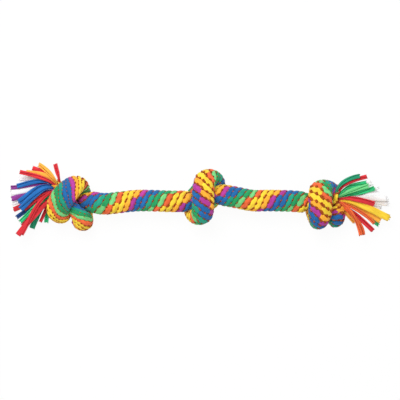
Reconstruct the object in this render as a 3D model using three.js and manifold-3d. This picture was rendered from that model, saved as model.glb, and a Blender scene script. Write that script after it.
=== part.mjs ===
// Rope dog toy: a thick rope, braided from strips of coloured jersey round a core of filler strips, tied in
// three overhand knots, with both ends left loose as tassels. It lies along X on a floor at Z = 0, with the
// origin on the floor under the middle of the whole toy. Millimetres, +Z up.

import * as THREE from 'three';
import Module from 'manifold-3d';
import { mergeVertices } from 'three/addons/utils/BufferGeometryUtils.js';

const wasm = await Module();
wasm.setup();

// The rope. Its way through a knot is given in rope diameters, so the knots grow with the rope.
const ropeDiameter = 27;
const coreDiameter = 11;
const coreClearance = 0.6;

// Places of the end knots from the centre knot: along the toy, and to the side.
const leftSpan = 163;
const rightSpan = 146;
const leftKnotSide = -7.4;
const rightKnotSide = -8.6;

// The knots reach this far below the axis of the rope, and their undersides are pressed flat on the floor.
const knotDepth = 1.155 * ropeDiameter;
const flatDepth = 0.1 * ropeDiameter;
const axisHeight = knotDepth - flatDepth;

// Rope bends beside a knot: there the stretch ends in a dome that turns in a cup of the knot.
const bendRadius = 0.7 * ropeDiameter;
const bendClearance = 0.5;
const leftStretchBow = 1.6;
const rightStretchSide = -4.3;
const rightStretchPlaces = [0.42, 0.56];

// Tassels: each strip grows out of a domed seat at the end of the rope. Strips lie in layers, one over
// another, and a layer's strips fan out from the seat. Droop is the fall of a tip per mm of reach.
const seatRadius = 0.47 * ropeDiameter;
const seatPlane = 0.21 * ropeDiameter;
const seatClearance = 0.3;
const layerPitch = 0.12 * ropeDiameter;
const rootWidth = 0.118 * ropeDiameter;
const stripWidth = 6;
const stripThickness = 2.4;
const topDroop = 0.05;
const droopPerLayer = 0.055;
const middleLayer = 2;

// Fineness of the meshes.
const ropeSides = 10;
const stripSides = 6;
const stepsPerPoint = 2;
const capRings = 2;
const stripSteps = 7;
const fullWidthFrom = 0.5;

// Cloth finish.
const clothRoughness = 0.9;
const coverColour = '#3f9bb0';
const coreColour = '#d8343c';
const stripColours = {
  yellow: '#ffd53c',
  gold: '#ffb43a',
  orange: '#f7803a',
  red: '#e2343e',
  purple: '#8c2f8f',
  blue: '#2470bd',
  navy: '#254c8c',
  green: '#2aa35f',
  darkgreen: '#1c6b4e',
  lightgreen: '#86dd8c',
  white: '#f1efee',
};

// The rope's way through each knot, from left to right: x, y and z from the middle of the knot, then the
// width of the squeezed rope and its thickness away from the knot's long axis, all in rope diameters.
const leftKnotRoute = [
  [-0.61, 0.68, -0.09, 0.84, 0.8],
  [-0.37, 0.6, 0.02, 0.62, 0.58],
  [-0.14, 0.26, 0.15, 0.56, 0.54],
  [0.14, -0.2, 0.21, 0.62, 0.56],
  [0.37, -0.54, 0.19, 0.84, 0.58],
  [0.53, -0.91, -0.03, 0.96, 0.58],
  [0.56, -0.97, -0.46, 0.94, 0.56],
  [0.55, -0.55, -0.86, 0.86, 0.54],
  [0.54, 0.04, -0.91, 0.84, 0.54],
  [0.5, 0.58, -0.75, 0.8, 0.54],
  [0.37, 0.9, -0.24, 0.92, 0.56],
  [0.24, 0.96, 0.28, 1, 0.58],
  [0.04, 0.76, 0.66, 1.05, 0.58],
  [-0.24, 0.4, 0.84, 1.1, 0.58],
  [-0.46, -0.06, 0.76, 1.1, 0.58],
  [-0.54, -0.45, 0.46, 1, 0.58],
  [-0.44, -0.66, -0.03, 0.84, 0.56],
  [-0.36, -0.52, -0.56, 0.8, 0.54],
  [-0.42, -0.1, -0.88, 0.76, 0.54],
  [-0.42, 0.32, -0.86, 0.68, 0.54],
  [-0.21, 0.36, -0.62, 0.56, 0.54],
  [0.12, 0.28, -0.36, 0.56, 0.54],
  [0.45, 0.2, -0.26, 0.62, 0.6],
  [0.77, 0.07, -0.1, 0.86, 0.84],
  [1.06, 0.03, -0.03, 1, 1],
];
const centreKnotRoute = [
  [-0.96, -0.2, 0, 1, 1],
  [-0.68, -0.2, 0, 0.94, 0.92],
  [-0.36, -0.25, -0.04, 0.7, 0.7],
  [0, -0.36, -0.22, 0.6, 0.58],
  [0.34, -0.32, -0.56, 0.6, 0.54],
  [0.56, 0.04, -0.85, 0.8, 0.54],
  [0.6, 0.5, -0.75, 0.84, 0.54],
  [0.53, 0.84, -0.38, 0.9, 0.56],
  [0.34, 0.99, 0.04, 0.94, 0.58],
  [0.12, 0.89, 0.46, 0.98, 0.58],
  [0.02, 0.48, 0.75, 1, 0.58],
  [0, 0, 0.83, 1, 0.58],
  [0, -0.48, 0.75, 1, 0.58],
  [-0.04, -0.88, 0.46, 0.98, 0.58],
  [-0.2, -0.99, 0.02, 0.94, 0.58],
  [-0.38, -0.85, -0.42, 0.88, 0.56],
  [-0.46, -0.5, -0.78, 0.84, 0.54],
  [-0.46, -0.06, -0.86, 0.76, 0.54],
  [-0.3, 0.32, -0.62, 0.6, 0.54],
  [0, 0.36, -0.28, 0.6, 0.58],
  [0.36, 0.24, -0.05, 0.7, 0.7],
  [0.68, 0.13, 0, 0.94, 0.92],
  [0.96, 0.08, 0, 1, 1],
];
const rightKnotRoute = [
  [-0.97, 0.1, 0, 1, 1],
  [-0.7, 0.08, 0.01, 0.9, 0.88],
  [-0.38, 0, 0.08, 0.62, 0.6],
  [-0.04, -0.17, 0.17, 0.56, 0.54],
  [0.28, -0.34, 0.16, 0.66, 0.56],
  [0.58, -0.6, 0.01, 0.8, 0.56],
  [0.64, -0.8, -0.42, 0.82, 0.54],
  [0.6, -0.42, -0.82, 0.84, 0.54],
  [0.52, 0.14, -0.89, 0.82, 0.54],
  [0.48, 0.57, -0.72, 0.8, 0.54],
  [0.25, 0.8, -0.2, 0.92, 0.56],
  [-0.02, 0.79, 0.34, 1.04, 0.58],
  [-0.1, 0.47, 0.72, 1.08, 0.58],
  [-0.09, -0.05, 0.83, 1.08, 0.58],
  [-0.12, -0.53, 0.69, 1.04, 0.58],
  [-0.15, -0.86, 0.23, 0.87, 0.58],
  [-0.21, -0.8, -0.3, 0.78, 0.56],
  [-0.31, -0.41, -0.77, 0.8, 0.54],
  [-0.38, 0.07, -0.87, 0.74, 0.54],
  [-0.3, 0.34, -0.68, 0.6, 0.54],
  [-0.12, 0.26, -0.44, 0.56, 0.54],
  [0.2, 0.16, -0.27, 0.56, 0.54],
  [0.48, 0.19, -0.11, 0.62, 0.6],
  [0.75, 0.23, -0.01, 0.84, 0.84],
];

// The strips of each tassel, layer by layer from the top, and from +Y to -Y in a layer: colour, angle at
// which the strip leaves the rope's end, reach of the tip along the toy in mm and to the side in strip
// widths, turn of the tip, share of full width. Angles are in degrees, positive to +Y.
const leftTassel = [
  [
    ['gold', 60, 22, 4.8, -16, 1],
    ['red', 38, 45, 3.3, -6, 0.9],
    ['blue', 9, 44, -4.3, -10, 1.3],
    ['red', -20, 43, -9.5, -6, 0.9],
  ],
  [
    ['gold', 52, 37, 3.2, -9, 0.9],
    ['blue', 33, 49, 0.4, -10, 1],
    ['blue', 16, 47, -2.9, -9, 1.2],
    ['red', -14, 40, -4.3, -3, 0.9],
    ['green', -29, 45, -6.9, -3, 0.9],
    ['red', -44, 48, -9.6, -6, 1],
  ],
  [
    ['red', 80, 2, 4.9, 4, 0.9],
    ['red', 54, 30, 4.1, -12, 0.8],
    ['purple', 20, 57, 0.1, 2, 0.9],
    ['white', 4, 56, -1, 0, 0.9],
    ['purple', -10, 56, -2.2, -6, 0.9],
    ['navy', -30, 50, -6, -3, 0.9],
  ],
  [
    ['white', 34, 47, 2, -8, 1],
    ['white', 1, 55, -3, 6, 1],
    ['red', -15, 54, -4.4, 4, 0.9],
    ['red', -30, 43, -7.8, -6, 0.8],
    ['red', -45, 21, -6.9, 0, 0.7],
  ],
  [
    ['white', 8, 42, -0.9, 0, 1],
    ['darkgreen', -29, 32, -8.2, -8, 1],
    ['green', -45, 14, -7, -14, 0.9],
  ],
];
const rightTassel = [
  [
    ['darkgreen', 76, 26, 4.7, -26, 0.9],
    ['lightgreen', 31, 37, 2.7, -4, 1],
    ['red', 7, 44, -1, -5, 1.1],
    ['orange', -28, 27, -7.4, -8, 1],
  ],
  [
    ['red', 60, 35, 4.6, -12, 0.9],
    ['green', 20, 44, 2.2, 9, 1],
    ['yellow', -6, 62, -3.9, -3, 1.3],
    ['orange', -23, 44, -5, -16, 0.9],
    ['orange', -40, 31, -7.3, -22, 0.9],
  ],
  [
    ['green', 45, 35, 3.3, -10, 1],
    ['white', 24, 49, 1.9, 0, 0.9],
    ['white', 8, 60, 0.1, 0, 1],
    ['gold', -14, 52, -4.5, -3, 0.9],
    ['red', -33, 43, -6.5, -5, 1],
    ['gold', -48, 20, -4.8, 0, 0.8],
  ],
  [
    ['white', 34, 41, 3.2, 4, 0.9],
    ['darkgreen', 16, 39, 1.6, 0, 0.8],
    ['white', 0, 62, -0.9, 0, 1],
    ['green', -20, 50, -5.3, -4, 0.8],
    ['red', -42, 16, -3.3, 0, 0.8],
  ],
  [
    ['white', 12, 31, 1.2, 0, 1],
    ['white', -8, 52, -2, 0, 1],
  ],
];

// Builds a closed mesh from rings of equal length. A tube's rings come back to the first one; any other body
// ends in a point at either end.
function bodyFromRings(rings, firstPoint, lastPoint) {
  const sides = rings[0].length;
  const corners = rings.flat();
  const faces = [];
  const turns = firstPoint ? rings.length - 1 : rings.length;
  for (let i = 0; i < turns; i++) {
    const near = i * sides;
    const far = ((i + 1) % rings.length) * sides;
    for (let k = 0; k < sides; k++) {
      const next = (k + 1) % sides;
      faces.push(near + k, near + next, far + k, near + next, far + next, far + k);
    }
  }
  if (firstPoint) {
    const last = corners.length - sides;
    corners.push(firstPoint, lastPoint);
    for (let k = 0; k < sides; k++) {
      const next = (k + 1) % sides;
      faces.push(corners.length - 2, next, k, last + k, last + next, corners.length - 1);
    }
  }
  const geometry = new THREE.BufferGeometry().setFromPoints(corners);
  geometry.setIndex(faces);
  return geometry;
}

// The places along a route at which the rope's section is drawn, each with the route's direction, two axes
// carried along without twist, the outward direction from the knot's long axis, and half the width and
// thickness of the section.
function ropeStations(route, middle) {
  const path = new THREE.CatmullRomCurve3(route.map(([x, y, z]) => new THREE.Vector3(x, y, z)));
  const count = (route.length - 1) * stepsPerPoint;
  const onAxis = 0.02;
  const stations = [];
  let across = new THREE.Vector3(0, 0, 1);
  for (let i = 0; i <= count; i++) {
    const before = Math.min(Math.floor(i / stepsPerPoint), route.length - 2);
    const share = i / stepsPerPoint - before;
    const [width, thickness] = [3, 4].map((column) =>
      THREE.MathUtils.lerp(route[before][column], route[before + 1][column], share));
    const place = path.getPoint(i / count);
    const along = path.getTangent(i / count);
    across = across.clone().addScaledVector(along, -across.dot(along)).normalize();
    let out = new THREE.Vector3(0, place.y, place.z);
    out.addScaledVector(along, -out.dot(along));
    out = out.length() > onAxis ? out.normalize() : across;
    stations.push({
      centre: place.multiplyScalar(ropeDiameter).add(middle),
      along,
      across,
      up: new THREE.Vector3().crossVectors(along, across),
      out,
      side: new THREE.Vector3().crossVectors(along, out),
      width: 0.5 * width * ropeDiameter,
      thickness: 0.5 * thickness * ropeDiameter,
    });
  }
  return stations;
}

// A point on the rope's axis, a distance ahead of a station.
const pointAlong = (station, distance) => station.centre.clone().addScaledVector(station.along, distance);

// The corners of one section, as offsets from its centre: an ellipse of the given half sizes.
function sectionOffsets(station, width, thickness) {
  const offsets = [];
  for (let k = 0; k < ropeSides; k++) {
    const angle = (2 * Math.PI * k) / ropeSides;
    const direction = station.across.clone().multiplyScalar(Math.cos(angle));
    direction.addScaledVector(station.up, Math.sin(angle));
    const sideShare = direction.dot(station.side) / width;
    const outShare = direction.dot(station.out) / thickness;
    offsets.push(direction.divideScalar(Math.hypot(sideShare, outShare)));
  }
  return offsets;
}

// An end of a rope: how far it stands out along the route at a distance from the middle of the section.
const bendPlane = Math.sqrt(bendRadius ** 2 - (ropeDiameter / 2) ** 2);
const dome = (distance) => Math.sqrt(bendRadius ** 2 - distance ** 2) - bendPlane;
const cup = (distance) => bendPlane - Math.sqrt((bendRadius + bendClearance) ** 2 - distance ** 2);
const seat = (distance) => Math.sqrt(seatRadius ** 2 - distance ** 2) - seatPlane;

// The rings that close the rope at its first (outward = -1) or last (outward = 1) station.
function endRings(station, outward, shape, offsets, shares) {
  return shares.map((share) => offsets.map((offset) => {
    const place = station.centre.clone().addScaledVector(offset, share);
    return place.addScaledVector(station.along, outward * shape(offset.length() * share));
  }));
}

const coreShare = coreDiameter / ropeDiameter;
const boreWidth = (station) => station.width * coreShare + coreClearance;
const boreThickness = (station) => station.thickness * coreShare + coreClearance;

// The rings of a run of rope between its two ends.
function sideRings(stations, width, thickness) {
  return stations.map((station) =>
    sectionOffsets(station, width(station), thickness(station)).map((offset) =>
      offset.add(station.centre)));
}

// The stations of the core and its bore that lie deeper in the rope than its cupped ends.
function innerStations(stations, firstShape, lastShape) {
  const [first, last] = [stations[0], stations[stations.length - 1]];
  return stations.slice(1, -1).filter(({ centre }) =>
    centre.distanceTo(first.centre) > -firstShape(0) && centre.distanceTo(last.centre) > -lastShape(0));
}

// The braided cover: a tube with the core's bore through it.
function coverBody(stations, firstShape, lastShape) {
  const [first, last] = [stations[0], stations[stations.length - 1]];
  const ends = [[first, -1, firstShape], [last, 1, lastShape]].map(([station, outward, shape]) => {
    const outer = sectionOffsets(station, station.width, station.thickness);
    const inner = sectionOffsets(station, boreWidth(station), boreThickness(station));
    const middle = outer.map((offset, k) => offset.clone().lerp(inner[k], 0.5));
    return [outer, middle, inner].map((offsets) => endRings(station, outward, shape, offsets, [1])[0]);
  });
  const outside = sideRings(stations.slice(1, -1), (s) => s.width, (s) => s.thickness);
  const inside = sideRings(innerStations(stations, firstShape, lastShape), boreWidth, boreThickness);
  return bodyFromRings([ends[0][1], ends[0][0], ...outside, ...ends[1], ...inside.reverse(), ends[0][2]]);
}

// The filler core: a solid run of cloth that ends flush with its cover.
function coreBody(stations, firstShape, lastShape) {
  const width = (station) => station.width * coreShare;
  const thickness = (station) => station.thickness * coreShare;
  const shares = Array.from({ length: capRings }, (_, i) => 1 - i / capRings);
  const caps = [[stations[0], -1, firstShape], [stations[stations.length - 1], 1, lastShape]];
  const [firstRings, lastRings] = caps.map(([station, outward, shape]) => {
    const offsets = sectionOffsets(station, width(station), thickness(station));
    return endRings(station, outward, shape, offsets, shares);
  });
  const [firstPoint, lastPoint] = caps.map(([station, outward, shape]) =>
    pointAlong(station, outward * shape(0)));
  const side = sideRings(innerStations(stations, firstShape, lastShape), width, thickness);
  return bodyFromRings([...firstRings.reverse(), ...side, ...lastRings], firstPoint, lastPoint);
}

// The least gap between turns of the rope that lie more than a diameter apart along it.
function leastGap(stations) {
  const nextTurn = 1.2 * ropeDiameter;
  const sliceDepth = 0.15 * ropeDiameter;
  let least = Infinity;
  let along = 0;
  const reach = stations.map((station, i) => {
    along += i ? station.centre.distanceTo(stations[i - 1].centre) : 0;
    return along;
  });
  const surface = sideRings(stations, (s) => s.width, (s) => s.thickness);
  stations.forEach((station, i) => stations.forEach((_, j) => {
    if (Math.abs(reach[i] - reach[j]) < nextTurn) {
      return;
    }
    for (const corner of surface[j]) {
      const offset = corner.clone().sub(station.centre);
      const ahead = offset.dot(station.along);
      if (Math.abs(ahead) > sliceDepth) {
        continue;
      }
      offset.addScaledVector(station.along, -ahead);
      const sideShare = offset.dot(station.side) / station.width;
      const outShare = offset.dot(station.out) / station.thickness;
      least = Math.min(least, offset.length() * (1 - 1 / Math.hypot(sideShare, outShare)));
    }
  }));
  return least;
}

// Solids for cutting.
function solidOf(geometry) {
  const bare = geometry.index ? geometry.clone() : mergeVertices(geometry);
  const merged = mergeVertices(bare.deleteAttribute('normal').deleteAttribute('uv'), 1e-4);
  return new wasm.Manifold(new wasm.Mesh({
    numProp: 3,
    vertProperties: Float32Array.from(merged.attributes.position.array),
    triVerts: Uint32Array.from(merged.index.array),
  }));
}
function geometryOf(solid) {
  const mesh = solid.getMesh();
  const geometry = new THREE.BufferGeometry();
  geometry.setAttribute('position', new THREE.BufferAttribute(mesh.vertProperties, 3));
  geometry.setIndex(new THREE.BufferAttribute(mesh.triVerts, 1));
  return geometry;
}

// Cuts a knot flat where it lies on the floor.
function cutAtFloor(geometry, middle) {
  const size = 8 * ropeDiameter;
  const below = new THREE.BoxGeometry(size, size, size).translate(middle.x, middle.y, -size / 2);
  return geometryOf(solidOf(geometry).subtract(solidOf(below)));
}

const toy = new THREE.Group();

function addCloth(name, geometry, color) {
  const cloth = new THREE.MeshStandardMaterial({ color, roughness: clothRoughness, metalness: 0 });
  const mesh = new THREE.Mesh(geometry, cloth);
  mesh.name = name;
  toy.add(mesh);
}

// The three knots.
const leftMiddle = new THREE.Vector3(-leftSpan, leftKnotSide, axisHeight);
const centreMiddle = new THREE.Vector3(0, 0, axisHeight);
const rightMiddle = new THREE.Vector3(rightSpan, rightKnotSide, axisHeight);
const knots = [
  ['left_knot', leftKnotRoute, leftMiddle, seat, cup],
  ['centre_knot', centreKnotRoute, centreMiddle, cup, cup],
  ['right_knot', rightKnotRoute, rightMiddle, cup, seat],
].map(([name, route, middle, firstShape, lastShape]) => {
  const stations = ropeStations(route, middle);
  addCloth(`${name}_cover`, cutAtFloor(coverBody(stations, firstShape, lastShape), middle), coverColour);
  addCloth(`${name}_core`, coreBody(stations, firstShape, lastShape), coreColour);
  console.log(`${name}: least gap of the rope to itself ${leastGap(stations).toFixed(2)} mm`);
  return stations;
});
const [leftKnot, centreKnot, rightKnot] = knots;

// The points about which the rope bends, and about which a tassel sways.
const bendPoint = (station, outward) => pointAlong(station, outward * bendPlane);
const seatPoint = (station, outward) => pointAlong(station, -outward * seatPlane);

// The two stretches between the knots.
const toRoute = (places) => places.map((place) => {
  const { x, y, z } = place.clone().divideScalar(ropeDiameter);
  return [x, y, z, 1, 1];
});
function addStretch(name, fromKnot, toKnot, inner) {
  const from = fromKnot[fromKnot.length - 1];
  const to = toKnot[0];
  const places = [from.centre, bendPoint(from, 1), ...inner, bendPoint(to, -1), to.centre];
  const stations = ropeStations(toRoute(places), new THREE.Vector3());
  addCloth(`${name}_cover`, coverBody(stations, dome, dome), coverColour);
  addCloth(`${name}_core`, coreBody(stations, dome, dome), coreColour);
}
const leftMid = leftKnot[leftKnot.length - 1].centre.clone().lerp(centreKnot[0].centre, 0.5);
leftMid.y += leftStretchBow;
addStretch('left_stretch', leftKnot, centreKnot, [leftMid]);
const rightInner = rightStretchPlaces.map((share) =>
  new THREE.Vector3(share * rightSpan, rightStretchSide, axisHeight));
addStretch('right_stretch', centreKnot, rightKnot, rightInner);

// One strip of a tassel: a flat length of cloth that leaves its seat square and bends to its tip.
function stripBody(root, away, tip, tipTurn, width) {
  const length = root.distanceTo(tip);
  const heading = tip.clone().sub(root).normalize();
  heading.applyAxisAngle(new THREE.Vector3(0, 0, 1), THREE.MathUtils.degToRad(tipTurn));
  const path = new THREE.CubicBezierCurve3(
    root,
    root.clone().addScaledVector(away, length / 3),
    tip.clone().addScaledVector(heading, -length / 3),
    tip,
  );
  const rings = [];
  for (let i = 0; i <= stripSteps; i++) {
    const place = path.getPoint(i / stripSteps);
    const along = path.getTangent(i / stripSteps);
    const side = new THREE.Vector3(0, 0, 1).cross(along).normalize();
    const up = new THREE.Vector3().crossVectors(along, side);
    const grown = THREE.MathUtils.smoothstep(i / stripSteps, 0, fullWidthFrom);
    const half = 0.5 * THREE.MathUtils.lerp(Math.min(rootWidth, width), width, grown);
    rings.push(Array.from({ length: stripSides }, (_, k) => {
      const angle = (2 * Math.PI * k) / stripSides;
      const corner = place.clone().addScaledVector(side, half * Math.cos(angle));
      return corner.addScaledVector(up, 0.5 * stripThickness * Math.sin(angle));
    }));
  }
  return bodyFromRings(rings, root.clone(), tip.clone());
}

function addTassel(name, station, outward, layers) {
  const centre = seatPoint(station, outward);
  const used = {};
  layers.forEach((strips, layer) => strips.forEach(([colour, leave, reach, sideWidths, tipTurn, share]) => {
    const side = sideWidths * stripWidth;
    const radius = seatRadius + seatClearance;
    const rise = (middleLayer - layer) * layerPitch;
    const flat = Math.sqrt(radius ** 2 - rise ** 2);
    const angle = THREE.MathUtils.degToRad(leave);
    const along = outward * flat * Math.cos(angle);
    const away = new THREE.Vector3(along, flat * Math.sin(angle), rise).normalize();
    const root = centre.clone().addScaledVector(away, radius);
    const fall = (topDroop + droopPerLayer * layer) * Math.hypot(reach, side);
    const tip = new THREE.Vector3(station.centre.x + outward * reach, station.centre.y + side, root.z - fall);
    used[colour] = (used[colour] ?? 0) + 1;
    const body = stripBody(root, away, tip, outward * tipTurn, share * stripWidth);
    addCloth(`${name}_${colour}_${used[colour]}`, body, stripColours[colour]);
  }));
}
addTassel('left_tassel', leftKnot[0], -1, leftTassel);
addTassel('right_tassel', rightKnot[rightKnot.length - 1], 1, rightTassel);

// The knots are laid out from the centre knot, and the origin comes from the whole toy.
const middle = new THREE.Box3().setFromObject(toy).getCenter(new THREE.Vector3());
toy.position.set(-middle.x, -middle.y, 0);

export default toy;
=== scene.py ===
import math

import bmesh
import bpy
import numpy as np
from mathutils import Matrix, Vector


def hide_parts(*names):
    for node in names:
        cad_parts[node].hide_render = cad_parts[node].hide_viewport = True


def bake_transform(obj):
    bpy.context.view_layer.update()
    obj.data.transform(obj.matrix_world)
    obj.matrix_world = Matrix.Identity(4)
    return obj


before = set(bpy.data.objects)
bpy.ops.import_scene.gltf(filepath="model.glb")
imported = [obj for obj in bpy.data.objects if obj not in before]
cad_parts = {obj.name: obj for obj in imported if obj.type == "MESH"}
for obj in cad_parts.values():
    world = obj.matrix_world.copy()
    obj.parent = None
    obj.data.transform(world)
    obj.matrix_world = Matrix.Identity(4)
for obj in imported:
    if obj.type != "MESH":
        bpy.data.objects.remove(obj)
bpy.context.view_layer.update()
scene = bpy.context.scene
scene.view_settings.view_transform = "Standard"

# The camera looks straight down on the toy as it lies on a white table. A long lens from three metres up shows
# the knots, which stand higher than the rope, hardly wider than they are. Metres.
image_size = 400
pixel = 0.027 / 22  # the rope is 27 mm thick and 22 pixels wide
image_middle = (-0.00027, -0.00066)
axis_height = 0.02849  # of the knots' middles, above the table
camera_height = 3.0

camera = bpy.data.objects.new("camera", bpy.data.cameras.new("camera"))
camera.location = (*image_middle, camera_height)
camera.data.sensor_width = 36
camera.data.lens = camera.data.sensor_width * (camera_height - axis_height) / (image_size * pixel)
scene.collection.objects.link(camera)
scene.camera = camera

# The rope is one length of cotton jersey strips, braided in ten slanting rows round a filler core and tied in three
# overhand knots. It is drawn as four lengths that meet end to end, because each of them spans one bend of the toy.
rope_diameter = 0.027
row_pitch = 0.064  # of rope, for a row to go once round it
row_colours = [  # purple, two blue, teal, green, light green, orange, two yellow, gold
    "#b63c9c", "#1f69ab", "#1f69ab", "#209f82", "#249b5c", "#78d280", "#f46c3b", "#ffd83a", "#ffd83a", "#ffb437",
]
rows = len(row_colours)

# The way of the rope through each knot, in rope diameters from the knot's middle: x, y, z, the width and thickness of
# the squeezed rope, and the turn of the braid on the rope, in full turns.
left_knot_middle = (-0.15959, -0.00438, axis_height)
left_knot_route = [
    (-0.61, 0.68, -0.09, 0.84, 0.8, -0.02),
    (-0.37, 0.6, 0.02, 0.62, 0.58, -0.08),
    (-0.14, 0.26, 0.15, 0.56, 0.54, -0.14),
    (0.14, -0.2, 0.21, 0.62, 0.56, -0.18),
    (0.37, -0.54, 0.19, 0.84, 0.58, -0.15),
    (0.53, -0.91, -0.03, 0.96, 0.58, -0.11),
    (0.56, -0.97, -0.46, 0.94, 0.56, -0.16),
    (0.55, -0.55, -0.86, 0.86, 0.54, -0.28),
    (0.54, 0.04, -0.91, 0.84, 0.54, -0.26),
    (0.5, 0.58, -0.75, 0.8, 0.54, -0.18),
    (0.37, 0.9, -0.24, 0.92, 0.56, -0.24),
    (0.24, 0.96, 0.28, 1, 0.58, -0.38),
    (0.04, 0.76, 0.66, 1.05, 0.58, -0.36),
    (-0.24, 0.4, 0.84, 1.1, 0.58, -0.34),
    (-0.46, -0.06, 0.76, 1.1, 0.58, -0.33),
    (-0.54, -0.45, 0.46, 1, 0.58, -0.31),
    (-0.44, -0.66, -0.03, 0.84, 0.56, -0.33),
    (-0.36, -0.52, -0.56, 0.8, 0.54, -0.36),
    (-0.42, -0.1, -0.88, 0.76, 0.54, -0.43),
    (-0.42, 0.32, -0.86, 0.68, 0.54, -0.5),
    (-0.21, 0.36, -0.62, 0.56, 0.54, -0.56),
    (0.12, 0.28, -0.36, 0.56, 0.54, -0.63),
    (0.45, 0.2, -0.26, 0.62, 0.6, -0.7),
    (0.77, 0.07, -0.1, 0.86, 0.84, -0.73),
    (1.06, 0.03, -0.03, 1, 1, -0.74),
]
centre_knot_middle = (0.00341, 0.00302, axis_height)
centre_knot_route = [
    (-0.96, -0.2, 0, 1, 1, -0.77),
    (-0.68, -0.2, 0, 0.94, 0.92, -0.77),
    (-0.36, -0.25, -0.04, 0.7, 0.7, -0.77),
    (0, -0.36, -0.22, 0.6, 0.58, -0.77),
    (0.34, -0.32, -0.56, 0.6, 0.54, -0.78),
    (0.56, 0.04, -0.85, 0.8, 0.54, -0.78),
    (0.6, 0.5, -0.75, 0.84, 0.54, -0.78),
    (0.53, 0.84, -0.38, 0.9, 0.56, -0.78),
    (0.34, 0.99, 0.04, 0.94, 0.58, -0.82),
    (0.12, 0.89, 0.46, 0.98, 0.58, -0.9),
    (0.02, 0.48, 0.75, 1, 0.58, -0.96),
    (0, 0, 0.83, 1, 0.58, -1.02),
    (0, -0.48, 0.75, 1, 0.58, -1.07),
    (-0.04, -0.88, 0.46, 0.98, 0.58, -1.1),
    (-0.2, -0.99, 0.02, 0.94, 0.58, -1.12),
    (-0.38, -0.85, -0.42, 0.88, 0.56, -1.14),
    (-0.46, -0.5, -0.78, 0.84, 0.54, -1.15),
    (-0.46, -0.06, -0.86, 0.76, 0.54, -1.16),
    (-0.3, 0.32, -0.62, 0.6, 0.54, -1.17),
    (0, 0.36, -0.28, 0.6, 0.58, -1.19),
    (0.36, 0.24, -0.05, 0.7, 0.7, -1.21),
    (0.68, 0.13, 0, 0.94, 0.92, -1.23),
    (0.96, 0.08, 0, 1, 1, -1.25),
]
right_knot_middle = (0.14941, -0.00558, axis_height)
right_knot_route = [
    (-0.97, 0.1, 0, 1, 1, -1.29),
    (-0.7, 0.08, 0.01, 0.9, 0.88, -1.31),
    (-0.38, 0, 0.08, 0.62, 0.6, -1.32),
    (-0.04, -0.17, 0.17, 0.56, 0.54, -1.33),
    (0.28, -0.34, 0.16, 0.66, 0.56, -1.42),
    (0.58, -0.6, 0.01, 0.84, 0.56, -1.49),
    (0.64, -0.8, -0.42, 0.82, 0.54, -1.53),
    (0.6, -0.42, -0.82, 0.84, 0.54, -1.53),
    (0.52, 0.14, -0.89, 0.82, 0.54, -1.51),
    (0.48, 0.57, -0.72, 0.8, 0.54, -1.48),
    (0.25, 0.8, -0.2, 0.92, 0.56, -1.49),
    (-0.02, 0.79, 0.34, 1.04, 0.58, -1.51),
    (-0.1, 0.47, 0.72, 1.08, 0.58, -1.53),
    (-0.09, -0.05, 0.83, 1.08, 0.58, -1.57),
    (-0.12, -0.53, 0.69, 1.04, 0.58, -1.62),
    (-0.15, -0.86, 0.23, 0.87, 0.58, -1.65),
    (-0.21, -0.8, -0.3, 0.78, 0.56, -1.65),
    (-0.31, -0.41, -0.77, 0.8, 0.54, -1.66),
    (-0.38, 0.07, -0.87, 0.74, 0.54, -1.67),
    (-0.3, 0.34, -0.68, 0.6, 0.54, -1.68),
    (-0.12, 0.26, -0.44, 0.56, 0.54, -1.7),
    (0.2, 0.16, -0.27, 0.56, 0.54, -1.72),
    (0.48, 0.19, -0.11, 0.62, 0.6, -1.73),
    (0.75, 0.23, -0.01, 0.84, 0.84, -1.74),
]

# The two stretches between the knots, in metres: x, y, z and the turn of the braid.
left_stretch_route = [
    (-0.11823, -0.00533, 0.03075, -0.74), (-0.07674, -0.00138, 0.02808, -0.74), (-0.03574, -0.00238, 0.02848, -0.76),
]
right_stretch_route = [
    (0.04235, 0.00286, 0.02848, -1.23), (0.06473, -0.00128, 0.02849, -1.24), (0.08517, -0.00128, 0.02849, -1.26),
    (0.11004, -0.00191, 0.028, -1.28),
]


def knot_points(route, middle):
    points = np.array(route, float)
    points[:, :3] = points[:, :3] * rope_diameter + middle
    return points


def stretch_points(route):
    return np.array([(x, y, z, 1, 1, turn) for x, y, z, turn in route])


rope_route = np.vstack([
    knot_points(left_knot_route, left_knot_middle),
    stretch_points(left_stretch_route),
    knot_points(centre_knot_route, centre_knot_middle),
    stretch_points(right_stretch_route),
    knot_points(right_knot_route, right_knot_middle),
])


def smooth_line(points, steps):
    """A line through the points that stays round where they lie close together, with steps to each span."""
    ends = np.vstack([2 * points[0] - points[1], points, 2 * points[-1] - points[-2]])
    gaps = np.sqrt(np.linalg.norm(np.diff(ends, axis=0), axis=1))
    line = []
    for i in range(1, len(ends) - 2):
        before, here, there, after = ends[i - 1:i + 3]
        first, span, last = gaps[i - 1:i + 2]
        start = ((here - before) / first - (there - before) / (first + span) + (there - here) / span) * span
        stop = ((there - here) / span - (after - here) / (span + last) + (after - there) / last) * span
        for w in np.arange(steps) / steps:
            bend = (3 * (there - here) - 2 * start - stop) * w ** 2
            line.append(here + start * w + bend + (2 * (here - there) + start + stop) * w ** 3)
    line.append(points[-1])
    return np.array(line)


def unit(vectors):
    return vectors / np.linalg.norm(vectors, axis=1)[:, None]


def dot(one, other):
    return (one * other).sum(axis=1)


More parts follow.
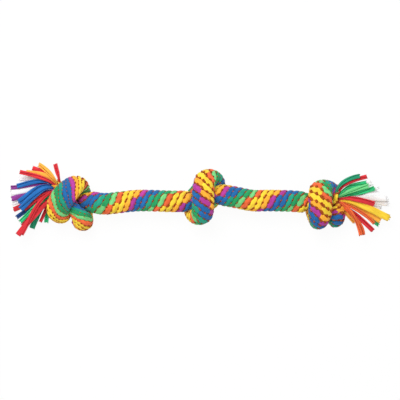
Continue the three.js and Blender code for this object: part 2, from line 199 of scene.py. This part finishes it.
# Rings of the braid lie about half a millimetre apart along the rope. At each are the rope's direction, two axes
# carried along without twist, and the squeezed section's own axes, out from the knot and to the side.
ring_step = 0.00055
span_steps = 24
near_axis = 0.02 * rope_diameter  # closer to a knot's axis than this, no way leads out
line = smooth_line(rope_route[:, :3], span_steps)
reach = np.concatenate([[0], np.cumsum(np.linalg.norm(np.diff(line, axis=0), axis=1))])
along_rope = np.linspace(0, reach[-1], round(reach[-1] / ring_step) + 1)
at_point = np.interp(along_rope, reach, np.arange(len(line)) / span_steps)
centre = np.column_stack([np.interp(along_rope, reach, line[:, k]) for k in range(3)])
width, thickness, turn = (np.interp(at_point, np.arange(len(rope_route)), rope_route[:, k]) for k in (3, 4, 5))
heading = unit(np.gradient(centre, axis=0))

across = np.zeros_like(centre)
carried = np.array([0.0, 0.0, 1.0])
for i, direction in enumerate(heading):
    carried = carried - carried.dot(direction) * direction
    carried /= np.linalg.norm(carried)
    across[i] = carried
up = np.cross(heading, across)

knot_middles = np.array([left_knot_middle, centre_knot_middle, right_knot_middle])
nearest_knot = np.abs(centre[:, :1] - knot_middles[:, 0]).argmin(axis=1)
out = centre - knot_middles[nearest_knot]
out[:, 0] = 0
out -= dot(out, heading)[:, None] * heading
on_axis = np.linalg.norm(out, axis=1) < near_axis
out[on_axis] = across[on_axis]
out = unit(out)
side = np.cross(heading, out)

# The turns round a knot swell inwards against what they hold, so little daylight is left between them. The right
# knot's small loop beside the tassel is as full as the free rope. In rope diameters.
turn_full, loop_full = 0.86, 1.04
turn_start, loop_start = 0.45, 0.28  # from the knot's axis, where the swell begins
swell_run = 0.3  # from there on outwards, until it is full
widening = 0.12  # of the width, for a diameter of swell
right_knot_start = len(rope_route) - len(right_knot_route)
right_loop = np.array([3, 4.5, 5.5, 7]) + right_knot_start
turn_thickness = np.interp(at_point, right_loop, [turn_full, loop_full, loop_full, turn_full])
swell_start = np.interp(at_point, right_loop, [turn_start, loop_start, loop_start, turn_start])
from_axis = np.linalg.norm((centre - knot_middles[nearest_knot])[:, 1:], axis=1) / rope_diameter
swell = np.clip((from_axis - swell_start) / swell_run, 0, 1) * np.maximum(turn_thickness - thickness, 0)
thickness = thickness + swell
width = width * (1 + widening * swell)
centre = centre - out * (0.5 * rope_diameter * swell)[:, None]


def rope_surface(angle, share=1.0):
    """Points on the squeezed rope's outside, one a ring, at angles from the carried axis."""
    direction = across * np.cos(angle)[:, None] - up * np.sin(angle)[:, None]
    spread = np.hypot(dot(direction, side) / width, dot(direction, out) / thickness)
    return centre + direction * (share * 0.5 * rope_diameter / spread)[:, None]


# Each row is a chain of stitches, the visible lengths of a rolled strip. A stitch lies steeper on the rope than its
# row does. At its end the strip dips under its neighbours, jumps one row along and comes up as the next stitch.
stitch = 0.015  # of rope, from one stitch of a row to the next
row_spacing = 0.0064  # along the rope
left_knot_loose = 0.25  # it is pulled tighter than the rest
grows_loose = (18, 21)  # points of the route
loose = np.interp(at_point, grows_loose, (left_knot_loose, 1))
loose_spread = 0.08
stitch_spacing = row_spacing * (1 + loose_spread * loose)
loose_jump = 0.44  # of a stitch
jump = loose_jump * loose
jump_sharpness = 0.88
centre_knot_run = (27, 36, 44, 51)  # points of the route: it takes up half a stitch and gives it back
stitch_start = np.interp(at_point, centre_knot_run, (0.79, 0.29, 0.29, 0.79))
full_part = 0.1  # of a stitch, to each side of its middle
end_part = 0.2  # of a stitch, over which each end rounds off
end_dip = 0.0016
end_pinch = 0.55  # of the width
row_half_width = 0.52  # of the spacing, so that rows touch
row_stretch = (0.45, 1.4)  # of a row's width, inside and outside a bend
crown = 0.0023  # height of a row over its middle
crown_share = 0.6  # and at most this share of its half width
row_sides = 12
section_power = 0.9  # under 1, the section is a little square
underside = 0.8  # of the crown
uv_half_width = 0.45  # of a row, so that its colour doesn't touch the next
angle_step = 0.02
floor_gap = 0.0004

# The lacing yarn ties the rows together: it pinches them, and shows as flecks in the valleys between them.
fleck_parts = (-2, -1, 0, 1, 2)
outer_fleck = 2  # it shows on the tight left knot only
half_loose = 0.5
row_lie = 1.1  # less loose, the row's share in the direction of a fleck
fleck_step = 0.2  # of a stitch
fleck_share = [0.95] * 6 + [1.3] * 4  # of their size: the lacing lies more open between the warm rows
lacing_pinch = 0.24  # of the width
lacing_pinch_run = 0.045  # of a stitch
lacing_depth = 0.0013
unlaced_end = 0.016  # of rope, where the strips of the tassel part
last_laced = len(along_rope) - round(unlaced_end / ring_step)

section_angle = 2 * np.pi * (np.arange(row_sides) + 0.5) / row_sides
section_side = np.sign(np.cos(section_angle)) * np.abs(np.cos(section_angle)) ** section_power
section_rise = np.where(np.sin(section_angle) > 0, np.sin(section_angle), underside * np.sin(section_angle))

row_rings = []
row_uvs = []
lacing_places = []
for k in range(rows):
    # Where the row runs: its stitches, counted along the rope, and its angle round the rope with their jumps.
    count = along_rope / stitch + 0.5 * (k % 2) + stitch_start
    part = count % 1
    sway = np.arcsin(jump_sharpness * np.sin(2 * np.pi * (part - 0.5))) / math.asin(jump_sharpness)
    angle = 2 * np.pi * (along_rope / row_pitch + turn - (k + 0.5) / rows + 0.5 * jump * sway * stitch / row_pitch)
    place = rope_surface(angle)

    # Its directions: straight along the rope, and out of it.
    round_rope = (rope_surface(angle + angle_step) - rope_surface(angle - angle_step)) / (2 * angle_step)
    step = np.gradient(place, axis=0)
    straight = step - np.gradient(angle)[:, None] * round_rope
    stretched = np.linalg.norm(straight, axis=1) / np.gradient(along_rope)
    straight = unit(straight)
    normal = unit(np.cross(straight, round_rope))
    normal *= np.sign(dot(normal, place - centre))[:, None]

    # Its section: full in the middle of a stitch, narrow and deep at both ends, and pinched by the lacing.
    fullness = np.sqrt(1 - np.clip((np.abs(part - 0.5) - full_part) / end_part, 0, 1) ** 2)
    fullness = 1 - (1 - fullness) * loose
    laced = sum(np.exp(-((part - 0.5 - fleck * fleck_step) / lacing_pinch_run) ** 2) for fleck in fleck_parts)
    half = row_half_width * stitch_spacing * np.clip(stretched, *row_stretch) * (1 - end_pinch * (1 - fullness))
    half *= 1 - lacing_pinch * laced
    rise = np.minimum(crown, crown_share * half)
    middle = place - normal * (rise + end_dip * (1 - fullness))[:, None]
    beside = unit(np.cross(step, normal))
    beside *= np.sign(dot(beside, straight).sum())
    beside = unit(straight * fullness[:, None] + beside * (1 - fullness)[:, None])
    ring = middle[:, None] + beside[:, None] * (half[:, None] * section_side)[..., None]
    ring += normal[:, None] * (rise[:, None] * section_rise)[..., None]
    ring[..., 2] = np.maximum(ring[..., 2], floor_gap)
    row_rings.append(ring)
    share_across = (k + 0.5 - uv_half_width * section_side) / rows
    row_uvs.append(np.stack(np.broadcast_arrays(count[:, None], share_across[None]), axis=2))

    # The lacing beside it: along the rope where the braid is loose, and along the row where it is tight.
    lie = unit(straight * loose[:, None] + unit(step) * (row_lie - loose)[:, None])
    for j in range(int(count[0]), int(count[-1]) + 1):
        for fleck in fleck_parts:
            i = int(np.searchsorted(count - fleck * fleck_step, j + 0.5))
            if 0 < i < last_laced and (abs(fleck) < outer_fleck or loose[i] < half_loose):
                valley = 0.5 * stitch_spacing[i] * stretched[i]
                spot = place[i] + valley * straight[i] - lacing_depth * normal[i]
                lacing_places.append((i, fleck_share[k], spot, lie[i], np.cross(normal[i], lie[i]), normal[i]))

# The filler core shows red-brown in the chinks between the rows.
core_share = 0.84  # of the rope
core_sides = 16
core_step = 4  # rings of the braid to one of the core
core_ring = np.stack([
    rope_surface(np.full(len(centre), a), core_share) for a in 2 * np.pi * np.arange(core_sides) / core_sides
], axis=1)
core_ring[..., 2] = np.maximum(core_ring[..., 2], 2 * floor_gap)

# A stitch of lacing yarn: a grain of red-brown cotton, drawn in at the left knot and open in the right one.
lacing_size = (0.0018, 0.0012, 0.0009)  # half its length, width and height
grows_open = (right_knot_start, right_knot_start + 6)  # points of the route
lacing_share = np.interp(at_point, [*grows_loose, *grows_open], [0.82, 1, 1, 1.3])
grain = bmesh.new()
bmesh.ops.create_icosphere(grain, subdivisions=1, radius=1)
grain_points = np.array([vertex.co for vertex in grain.verts])
grain_faces = np.array([[vertex.index for vertex in face.verts] for face in grain.faces])
grain.free()


def linear(colour):
    channels = [int(colour[i:i + 2], 16) / 255 for i in (1, 3, 5)]
    return [c / 12.92 if c <= 0.04045 else ((c + 0.055) / 1.055) ** 2.4 for c in channels] + [1.0]


def add_node(tree, kind, sockets, **settings):
    node = tree.nodes.new(kind)
    for name, value in settings.items():
        setattr(node, name, value)
    for socket, value in sockets.items():
        if isinstance(value, bpy.types.NodeSocket):
            tree.links.new(value, node.inputs[socket])
        else:
            node.inputs[socket].default_value = value
    return node


def new_material(name):
    material = bpy.data.materials.new(name)
    material.use_nodes = True
    tree = material.node_tree
    return material, tree, tree.nodes["Principled BSDF"]


def add_creases(tree, uv, scale, darkest, brightest=1.14):
    """Creases along the cloth, scale of them to a unit of its UV map: their height, and their painted shade and
    highlight.
    """
    creases_at = add_node(tree, "ShaderNodeMapping", {"Vector": uv.outputs["UV"], "Scale": scale})
    creases = add_node(
        tree, "ShaderNodeTexNoise", {"Vector": creases_at.outputs[0], "Scale": 1.0, "Detail": 3.0, "Roughness": 0.6},
        noise_dimensions="2D")
    height = creases.outputs["Fac"]
    # Painted shade and highlight: the colour is darkened down the creases and lightened along their ridges.
    painted_crease_light = add_node(
        tree, "ShaderNodeMapRange",
        {"Value": height, "From Min": 0.3, "From Max": 0.7, "To Min": darkest, "To Max": brightest})
    return height, painted_crease_light.outputs[0]


def finish_cloth(tree, cloth, colour, height, relief, depth, roughness, specular, sheen):
    """Gives a cloth its colour, its relief to a depth in metres, and its even finish."""
    bump = add_node(tree, "ShaderNodeBump", {"Height": height, "Strength": relief, "Distance": depth})
    tree.links.new(colour, cloth.inputs["Base Color"])
    tree.links.new(bump.outputs["Normal"], cloth.inputs["Normal"])
    cloth.inputs["Roughness"].default_value = roughness
    cloth.inputs["Specular IOR Level"].default_value = specular
    cloth.inputs["Sheen Weight"].default_value = sheen
    cloth.inputs["Sheen Roughness"].default_value = 0.5


# Braided cotton jersey: matt knitted cloth, rolled on itself, so each row shows lengthwise creases and every stitch
# has its own tone. The creases carry painted shade and highlight in the colour. The creases, really under 1 mm apart,
# are drawn about 2 mm apart to show.
creases_a_stitch = 5.0  # 3 mm long
creases_a_row = 3.4
stitch_tones = (0.9, 1.08)
jersey_rows, tree, cloth = new_material("braided cotton jersey")
uv = add_node(tree, "ShaderNodeUVMap", {}, uv_map="UVMap")
split = add_node(tree, "ShaderNodeSeparateXYZ", {"Vector": uv.outputs["UV"]})
ramp = add_node(tree, "ShaderNodeValToRGB", {"Fac": split.outputs["Y"]})
ramp.color_ramp.interpolation = "CONSTANT"
for k, colour in enumerate(row_colours):
    stop = ramp.color_ramp.elements[k] if k < 2 else ramp.color_ramp.elements.new(k / rows)  # a ramp starts with two
    stop.position = k / rows
    stop.color = linear(colour)
row_number = add_node(tree, "ShaderNodeMath", {0: split.outputs["Y"], 1: rows}, operation="MULTIPLY")
row_floor = add_node(tree, "ShaderNodeMath", {0: row_number.outputs[0]}, operation="FLOOR")
stitch_floor = add_node(tree, "ShaderNodeMath", {0: split.outputs["X"]}, operation="FLOOR")
stitch_name = add_node(tree, "ShaderNodeCombineXYZ", {"X": stitch_floor.outputs[0], "Y": row_floor.outputs[0]})
stitch_tone = add_node(tree, "ShaderNodeTexWhiteNoise", {"Vector": stitch_name.outputs[0]}, noise_dimensions="2D")
tone = add_node(
    tree, "ShaderNodeMapRange",
    {"Value": stitch_tone.outputs["Value"], "To Min": stitch_tones[0], "To Max": stitch_tones[1]})
height, painted_crease_light = add_creases(tree, uv, (creases_a_stitch, creases_a_row * rows, 1.0), darkest=0.8)
# The stitch's own random tone, times the painted shade and highlight of the creases.
value = add_node(tree, "ShaderNodeMath", {0: tone.outputs[0], 1: painted_crease_light}, operation="MULTIPLY")
coloured = add_node(tree, "ShaderNodeHueSaturation", {"Color": ramp.outputs["Color"], "Value": value.outputs[0]})
finish_cloth(
    tree, cloth, coloured.outputs["Color"], height, relief=0.5, depth=0.0006, roughness=0.85, specular=0.25,
    sheen=0.1)

# Red cotton yarn: the lacing and the filler show only as small matt red-brown flecks between the rows, mottled by the
# twist of the yarn.
mottles_a_metre = 700.0  # 1.4 mm each
red_yarn, tree, yarn = new_material("red cotton yarn")
spot = add_node(tree, "ShaderNodeTexCoord", {})
mottle = add_node(
    tree, "ShaderNodeTexNoise", {"Vector": spot.outputs["Object"], "Scale": mottles_a_metre, "Detail": 2.0})
ramp = add_node(tree, "ShaderNodeValToRGB", {"Fac": mottle.outputs["Fac"]})
ramp.color_ramp.elements[0].position = 0.35
ramp.color_ramp.elements[0].color = linear("#7a2a0c")
ramp.color_ramp.elements[1].position = 0.65
ramp.color_ramp.elements[1].color = linear("#c05f22")
finish_cloth(
    tree, yarn, ramp.outputs["Color"], mottle.outputs["Fac"], relief=0.4, depth=0.0005, roughness=0.9, specular=0.2,
    sheen=0.0)


def add_length(name, first, last):
    """One length of the rope, from one ring to another: ten rows, the core and the lacing between."""
    points = []
    faces = []
    uvs = []
    reds = []

    def add_tube(rings, ring_uvs, red):
        start = sum(len(p) for p in points)
        sides = rings.shape[1]
        index = start + np.arange(rings.shape[0] * sides).reshape(rings.shape[:2])
        near, far = index[:-1], index[1:]
        quads = np.stack([near, np.roll(near, -1, axis=1), np.roll(far, -1, axis=1), far], axis=2)
        points.append(rings.reshape(-1, 3))
        uvs.append(ring_uvs.reshape(-1, 2))
        tube = quads.reshape(-1, 4).tolist() + [index[0][::-1].tolist(), index[-1].tolist()]
        faces.extend(tube)
        reds.extend([red] * len(tube))

    for rings, ring_uvs in zip(row_rings, row_uvs):
        add_tube(rings[first:last + 1], ring_uvs[first:last + 1], 0)
    core = core_ring[first:last + 1:core_step]
    add_tube(core, np.zeros(core.shape[:2] + (2,)), 1)
    for i, open_share, place, forward, beside, normal in lacing_places:
        if first <= i < last:
            start = sum(len(p) for p in points)
            size = open_share * lacing_share[i] * np.array(lacing_size)
            axes = np.stack([forward, beside, normal]) * size[:, None]
            points.append(np.maximum(place + grain_points @ axes, [-np.inf, -np.inf, floor_gap]))
            uvs.append(np.zeros((len(grain_points), 2)))
            faces.extend((grain_faces + start).tolist())
            reds.extend([1] * len(grain_faces))

    mesh = bpy.data.meshes.new(name)
    mesh.from_pydata(np.vstack(points).tolist(), [], faces)
    mesh.materials.append(jersey_rows)
    mesh.materials.append(red_yarn)
    mesh.polygons.foreach_set("material_index", reds)
    mesh.polygons.foreach_set("use_smooth", [True] * len(faces))
    corner = np.empty(len(mesh.loops), int)
    mesh.loops.foreach_get("vertex_index", corner)
    mesh.uv_layers.new(name="UVMap").data.foreach_set("uv", np.vstack(uvs)[corner].ravel())
    whole = bmesh.new()
    whole.from_mesh(mesh)
    bmesh.ops.recalc_face_normals(whole, faces=whole.faces)
    whole.to_mesh(mesh)
    whole.free()
    piece = bpy.data.objects.new(name, mesh)
    scene.collection.objects.link(piece)
    return piece


def ring_at(point_number):
    return int(np.searchsorted(at_point, point_number))


# The lengths meet halfway along each stretch, and on the turn that crosses the top of the centre knot.
top_turn = 11  # the point of the centre knot's route that lies on top
centre_knot_start = len(left_knot_route) + len(left_stretch_route)
left_meet = ring_at(len(left_knot_route) + (len(left_stretch_route) - 1) / 2)
centre_meet = ring_at(centre_knot_start + top_turn)
right_meet = ring_at(centre_knot_start + len(centre_knot_route) + (len(right_stretch_route) - 1) / 2)
last_ring = len(centre) - 1
path_step = 6  # rings from one point of a length's path to the next

# Name, inner and outer end, what is at the outer end, the bodies that the bend joins, where along the toy the bend
# starts and stops, and the solids that the length stands for.
rope_lengths = [
    ("left_rope_and_knot", left_meet, 0, "knot", ("left_rope", "left_end"), (-0.105, -0.129),
     ("left_knot_cover", "left_knot_core", "left_stretch_cover", "left_stretch_core")),
    ("left_rope_at_centre", centre_meet, left_meet, "object", ("centre_knot", "left_rope"), (-0.022, -0.047),
     ("left_stretch_cover", "left_stretch_core", "centre_knot_cover", "centre_knot_core")),
    ("right_rope_at_centre", centre_meet, right_meet, "object", ("centre_knot", "right_rope"), (0.032, 0.055),
     ("right_stretch_cover", "right_stretch_core", "centre_knot_cover", "centre_knot_core")),
    ("right_rope_and_knot", right_meet, last_ring, "knot", ("right_rope", "right_end"), (0.099, 0.122),
     ("right_knot_cover", "right_knot_core", "right_stretch_cover", "right_stretch_core")),
]
for name, inner, outer, far_end, bodies, bend, nodes in rope_lengths:
    piece = add_length(name, min(inner, outer), max(inner, outer))
    route = centre[min(inner, outer):max(inner, outer) + 1:path_step]
    route = route if inner < outer else route[::-1]
    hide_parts(*nodes)
    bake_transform(piece)

# The tassels are the loose ends of the rope's own strips: bands of jersey, cut across, that roll up lengthwise into
# flat open tubes. They grow out of the rope's end in layers and lie over one another.
mm = 0.001
strip_width = 6 * mm
strip_half_thickness = 1.45 * mm
strip_wall = 0.5 * mm
root_half_width = 1.6 * mm
hidden_root = 7 * mm  # inside the rope's end
full_width_at = 0.5  # of the length
layer_pitch = 0.12 * rope_diameter
middle_layer = 2  # it leaves the rope's end level with its seat
seat_radius = 0.47 * rope_diameter + 0.3 * mm
top_droop = 0.05  # of a strip's reach
droop_per_layer = 0.055
table_gap = 0.8 * mm
strip_rings = 26
strip_points = 26
band_flat = 0.12  # of the band, between the two rolls
edge_roll = 280  # degrees
roll_shrink = 0.12  # of a roll, at the edge inside it
groove_wander = 0.45  # of the half width
groove_waves = (2, 5)  # least and most, in radians to a strip
lean = 0.2  # radians, by which a strip rocks to both sides
lean_waves = (2, 4)
any_phase = (0, 6.3)
groove_up_share = 0.7  # of the coloured strips, and no white one
strip_colours = {
    "yellow": "#ffd53c",
    "gold": "#ffb848",
    "orange": "#f7703a",
    "red": "#e2343e",
    "purple": "#943f95",
    "blue": "#2470bd",
    "navy": "#254c8c",
    "green": "#38d286",
    "darkgreen": "#29a579",
    "lightgreen": "#74db8a",
    "white": "#f6f4f4",
}
fray = {  # spread of the ragged cut, in millimetres
    "yellow": 1.2, "gold": 0.7, "orange": 0.6, "red": 0.35, "purple": 0.4, "blue": 0.4, "navy": 0.4, "green": 0.8,
    "darkgreen": 0.5, "lightgreen": 1.2, "white": 1.3,
}

# Layer by layer from the top, and from +Y to -Y in a layer: colour, angle at which the strip leaves the rope's end,
# reach of the tip along the toy in millimetres and to the side in strip widths, turn of the tip, share of the full
# width. Angles are in degrees, positive to +Y.
left_tassel = [
    [
        ("gold", 60, 22, 4.8, -16, 1),
        ("red", 38, 45, 3.3, -6, 0.9),
        ("blue", 9, 44, -4.3, -10, 1.3),
        ("red", -20, 43, -9.5, -6, 0.9),
    ],
    [
        ("gold", 52, 37, 3.2, -9, 0.9),
        ("blue", 33, 49, 0.4, -10, 1),
        ("blue", 16, 47, -2.9, -9, 1.2),
        ("red", -14, 40, -4.3, -3, 0.9),
        ("green", -29, 45, -6.9, -3, 0.9),
        ("red", -44, 48, -9.6, -6, 1),
    ],
    [
        ("red", 80, 2, 4.9, 4, 0.9),
        ("red", 54, 30, 4.1, -12, 0.8),
        ("purple", 20, 57, 0.1, 2, 0.9),
        ("white", 4, 56, -1, 0, 0.9),
        ("purple", -10, 56, -2.2, -6, 0.9),
        ("navy", -30, 50, -6, -3, 0.9),
    ],
    [
        ("white", 34, 47, 2, -8, 1),
        ("white", 1, 55, -3, 6, 1),
        ("red", -15, 54, -4.4, 4, 0.9),
        ("red", -30, 43, -7.8, -6, 0.8),
        ("red", -45, 21, -6.9, 0, 0.7),
    ],
    [
        ("white", 8, 42, -0.9, 0, 1),
        ("darkgreen", -29, 32, -8.2, -8, 1),
        ("green", -45, 14, -7, -14, 0.9),
    ],
]
right_tassel = [
    [
        ("darkgreen", 76, 26, 4.7, -26, 0.9),
        ("lightgreen", 31, 37, 2.7, -4, 1),
        ("red", 7, 44, -1, -5, 1.1),
        ("orange", -28, 27, -7.4, -20, 0.72),
    ],
    [
        ("red", 60, 35, 4.6, -12, 0.9),
        ("green", 20, 44, 2.2, 9, 1),
        ("yellow", -6, 62, -3.9, -3, 1.3),
        ("orange", -23, 44, -5, -16, 0.75),
        ("orange", -40, 31, -7.3, -34, 0.72),
    ],
    [
        ("green", 45, 35, 3.3, -10, 1),
        ("white", 24, 49, 1.9, 0, 0.9),
        ("white", 8, 60, 0.1, 0, 1),
        ("gold", -14, 52, -4.5, -3, 0.9),
        ("red", -33, 43, -6.5, -5, 1),
        ("gold", -48, 20, -4.8, 0, 0.8),
    ],
    [
        ("white", 34, 41, 3.2, 4, 0.9),
        ("darkgreen", 16, 39, 1.6, 0, 0.8),
        ("white", 0, 62, -0.9, 0, 1),
        ("green", -20, 50, -5.3, -4, 0.8),
        ("red", -42, 16, -3.3, 0, 0.8),
    ],
    [
        ("white", 12, 31, 1.2, 0, 1),
        ("white", -8, 52, -2, 0, 1),
    ],
]

# Cut cotton jersey: the same matt cloth, loose. Its edges roll, so lengthwise creases and fine wales run along the
# strip. The wales, really 0.7 mm apart, are drawn 2 mm apart to show. The creases carry painted shade and highlight
# in the colour.
creases_a_band = 8.0  # on about 16 mm of cloth
crease_unit = 15 * mm  # of strip, to a unit of its UV map
creases_a_unit = 0.9
# The darkest painted shade in the creases, as a share of the colour: on white strips and on coloured ones.
white_painted_shade, coloured_painted_shade = 0.94, 0.74


def strip_material(colour):
    material, tree, cloth = new_material(f"{colour} cotton jersey")
    uv = add_node(tree, "ShaderNodeUVMap", {}, uv_map="UVMap")
    height, painted_crease_light = add_creases(
        tree, uv, (creases_a_band, creases_a_unit, 1.0), darkest=white_painted_shade if colour == "white" else coloured_painted_shade)
    coloured = add_node(
        tree, "ShaderNodeHueSaturation", {"Color": linear(strip_colours[colour]), "Value": painted_crease_light})
    finish_cloth(
        tree, cloth, coloured.outputs["Color"], height, relief=0.6, depth=0.0008, roughness=0.85, specular=0.25,
        sheen=0.1)
    return material


strip_cloths = {colour: strip_material(colour) for colour in strip_colours}
strip_seed = 7
uv_shift = 20  # so that no two strips crease alike
rng = np.random.default_rng(strip_seed)


def face_number(face):
    """A number that no other face of a strip has, from the lowest and highest of its corners."""
    corners = [vertex.index for vertex in face.verts]
    return min(corners) * 2 * (strip_rings + 1) * strip_points + max(corners)


def add_strip(name, colour, root, away, tip, tip_turn, share):
    """One strip: a flat band laid along its curve, both long edges rolled in until they meet in a groove."""
    length = np.linalg.norm(tip - root)
    c, s = math.cos(tip_turn), math.sin(tip_turn)
    way = (tip - root) / length
    way = np.array([way[0] * c - way[1] * s, way[0] * s + way[1] * c, way[2]])
    handles = [root, root + away * length / 3, tip - way * length / 3, tip]
    t = np.linspace(0, 1, strip_rings)[:, None]
    curve = (handles[0] * (1 - t) ** 3 + 3 * handles[1] * t * (1 - t) ** 2
             + 3 * handles[2] * t ** 2 * (1 - t) + handles[3] * t ** 3)
    curve = np.vstack([root - away * hidden_root, curve])
    heading = unit(np.gradient(curve, axis=0))
    beside = unit(np.cross([0, 0, 1], heading))
    above = np.cross(heading, beside)

    # The rolled section: narrow at the root, with a groove that wanders and a slight rocking from side to side.
    grown = np.concatenate([[0], np.clip(np.linspace(0, 1, strip_rings) / full_width_at, 0, 1)])
    grown = grown * grown * (3 - 2 * grown)
    full = 0.5 * share * strip_width
    half = (min(root_half_width, full) * (1 - grown) + full * grown)[:, None]
    run = np.linspace(0, 1, len(curve))[:, None]
    groove = groove_wander * half * np.sin(rng.uniform(*groove_waves) * run + rng.uniform(*any_phase))
    rock = lean * np.sin(rng.uniform(*lean_waves) * run + rng.uniform(*any_phase))
    face_up = 1 if rng.random() < groove_up_share and colour != "white" else -1
    across_band = np.linspace(-1, 1, strip_points)[None]
    hand = np.sign(across_band)
    rolled = np.clip((np.abs(across_band) - band_flat) / (1 - band_flat), 0, 1)
    roll = np.radians(-90 + edge_roll * rolled)
    size = 1 - roll_shrink * rolled ** 2
    roll_half = 0.5 * (half - hand * groove)
    sideways = groove + hand * roll_half * (np.minimum(np.abs(across_band) / band_flat, 1) + size * np.cos(roll))
    rise = face_up * strip_half_thickness * size * np.sin(roll)
    end_cut = rng.normal(0, fray[colour] * mm, strip_points)
    points = (curve[:, None] + beside[:, None] * (sideways * np.cos(rock) - rise * np.sin(rock))[..., None]
              + above[:, None] * (sideways * np.sin(rock) + rise * np.cos(rock))[..., None])
    points[-1] += heading[-1] * end_cut[:, None]
    points[..., 2] = np.maximum(points[..., 2], table_gap)

    # The cloth: a grid that is laid on these points and given its thickness.
    outside = np.cross(np.gradient(points, axis=0), np.gradient(points, axis=1))
    outside /= np.linalg.norm(outside, axis=2)[..., None]
    band = bmesh.new()
    layer = band.loops.layers.uv.new("UVMap")
    bmesh.ops.create_grid(
        band, x_segments=strip_points - 1, y_segments=len(curve) - 1, size=1, calc_uvs=True)
    repeats = length / crease_unit
    offset = rng.uniform(0, uv_shift, 2)
    for face in band.faces:
        face.smooth = True
        for loop in face.loops:
            u, v = loop[layer].uv
            loop[layer].uv = (u + offset[0], v * repeats + offset[1])
    inner = bmesh.ops.extrude_face_region(band, geom=band.faces[:], use_keep_orig=True)["geom"]
    inner = {part for part in inner if isinstance(part, bmesh.types.BMVert)}
    band.verts.index_update()
    band.faces.sort(key=face_number)  # the extrusion lists the band's rim in no fixed order
    for vertex in band.verts:
        i = round((vertex.co.y + 1) / 2 * (len(curve) - 1))
        j = round((vertex.co.x + 1) / 2 * (strip_points - 1))
        vertex.co = points[i, j] + (strip_wall * outside[i, j] if vertex in inner else 0)
    bmesh.ops.recalc_face_normals(band, faces=band.faces)
    mesh = bpy.data.meshes.new(f"{name}_strip")
    band.to_mesh(mesh)
    band.free()
    mesh.materials.append(strip_cloths[colour])
    piece = bpy.data.objects.new(f"{name}_strip", mesh)
    scene.collection.objects.link(piece)
    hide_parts(name)
    return piece, (np.linalg.norm(np.diff(points[-2], axis=0), axis=1).sum(), length + hidden_root)


def add_tassel(name, end, seat, outward, layers):
    """The strips of one end, layer by layer. They grow from a round seat in the rope's end."""
    used = {}
    for layer, strips in enumerate(layers):
        for colour, leave, reach, side_widths, tip_turn, share in strips:
            rise = (middle_layer - layer) * layer_pitch
            flat_radius = math.sqrt(seat_radius ** 2 - rise ** 2)
            angle = math.radians(leave)
            away = [outward * flat_radius * math.cos(angle), flat_radius * math.sin(angle), rise]
            away = np.array(away) / seat_radius
            root = np.array(seat) + away * seat_radius
            fall = (top_droop + droop_per_layer * layer) * math.hypot(reach * mm, side_widths * strip_width)
            tip = np.array([end[0] + outward * reach * mm, end[1] + side_widths * strip_width, root[2] - fall])
            used[colour] = used.get(colour, 0) + 1
            piece, flat = add_strip(
                f"{name}_{colour}_{used[colour]}", colour, root, away, tip, math.radians(outward * tip_turn), share)
            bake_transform(piece)


# The rope's two ends and, inside each, the middle of the seat from which its strips grow.
left_rope_end = (-0.17606, 0.01398, 0.02606)
left_seat = (-0.17113, 0.01234, 0.02832)
add_tassel("left_tassel", left_rope_end, left_seat, -1, left_tassel)
right_rope_end = (0.16966, 0.00063, 0.02822)
right_seat = (0.16439, -0.00015, 0.02627)
add_tassel("right_tassel", right_rope_end, right_seat, 1, right_tassel)

# A white table top, covered with matt card and far larger than the view. It looks white to the camera and still takes
# the toy's faint shadow.
table_half = 3  # metres
own_light = 0.94  # of what the camera sees of the card, and the rest shows the shadow
table = bmesh.new()
bmesh.ops.create_grid(table, x_segments=1, y_segments=1, size=table_half)
mesh = bpy.data.meshes.new("table_top")
table.to_mesh(mesh)
table.free()
floor = bpy.data.objects.new("table_top", mesh)
scene.collection.objects.link(floor)
material, tree, card = new_material("white matt card")
card.inputs["Base Color"].default_value = linear("#ffffff")
card.inputs["Roughness"].default_value = 0.9
glow = add_node(tree, "ShaderNodeEmission", {"Color": linear("#ffffff"), "Strength": 1.0})


def seen_rays(tree):
    """1 for a ray that shows a surface itself: from the camera, off a gloss or through glass."""
    ray = add_node(tree, "ShaderNodeLightPath", {}).outputs
    seen = add_node(
        tree, "ShaderNodeMath", {0: ray["Is Camera Ray"], 1: ray["Is Glossy Ray"]}, operation="MAXIMUM")
    seen = add_node(
        tree, "ShaderNodeMath", {0: seen.outputs[0], 1: ray["Is Transmission Ray"]}, operation="MAXIMUM")
    return seen.outputs[0]


glowing = add_node(tree, "ShaderNodeMath", {0: seen_rays(tree), 1: own_light}, operation="MULTIPLY")
white = add_node(
    tree, "ShaderNodeMixShader", {0: glowing.outputs[0], 1: card.outputs["BSDF"], 2: glow.outputs["Emission"]})
tree.links.new(white.outputs["Shader"], tree.nodes["Material Output"].inputs["Surface"])
mesh.materials.append(material)

# Soft studio light: a bright room all round, which looks white behind the table, and one large lamp above and behind.
room_light = 0.55
world = bpy.data.worlds.new("studio")
world.use_nodes = True
tree = world.node_tree
level = add_node(tree, "ShaderNodeMapRange", {"Value": seen_rays(tree), "To Min": room_light, "To Max": 1.0})
tree.nodes["Background"].inputs["Color"].default_value = linear("#ffffff")
tree.links.new(level.outputs[0], tree.nodes["Background"].inputs["Strength"])
scene.world = world

key = bpy.data.objects.new("key_light", bpy.data.lights.new("key_light", "AREA"))
key.data.shape = "DISK"
key.data.size = 1.0
key.data.energy = 18.5
key.location = (-0.3, 0.6, 1.5)
key.rotation_euler = (-Vector(key.location)).to_track_quat("-Z", "Y").to_euler()
scene.collection.objects.link(key)
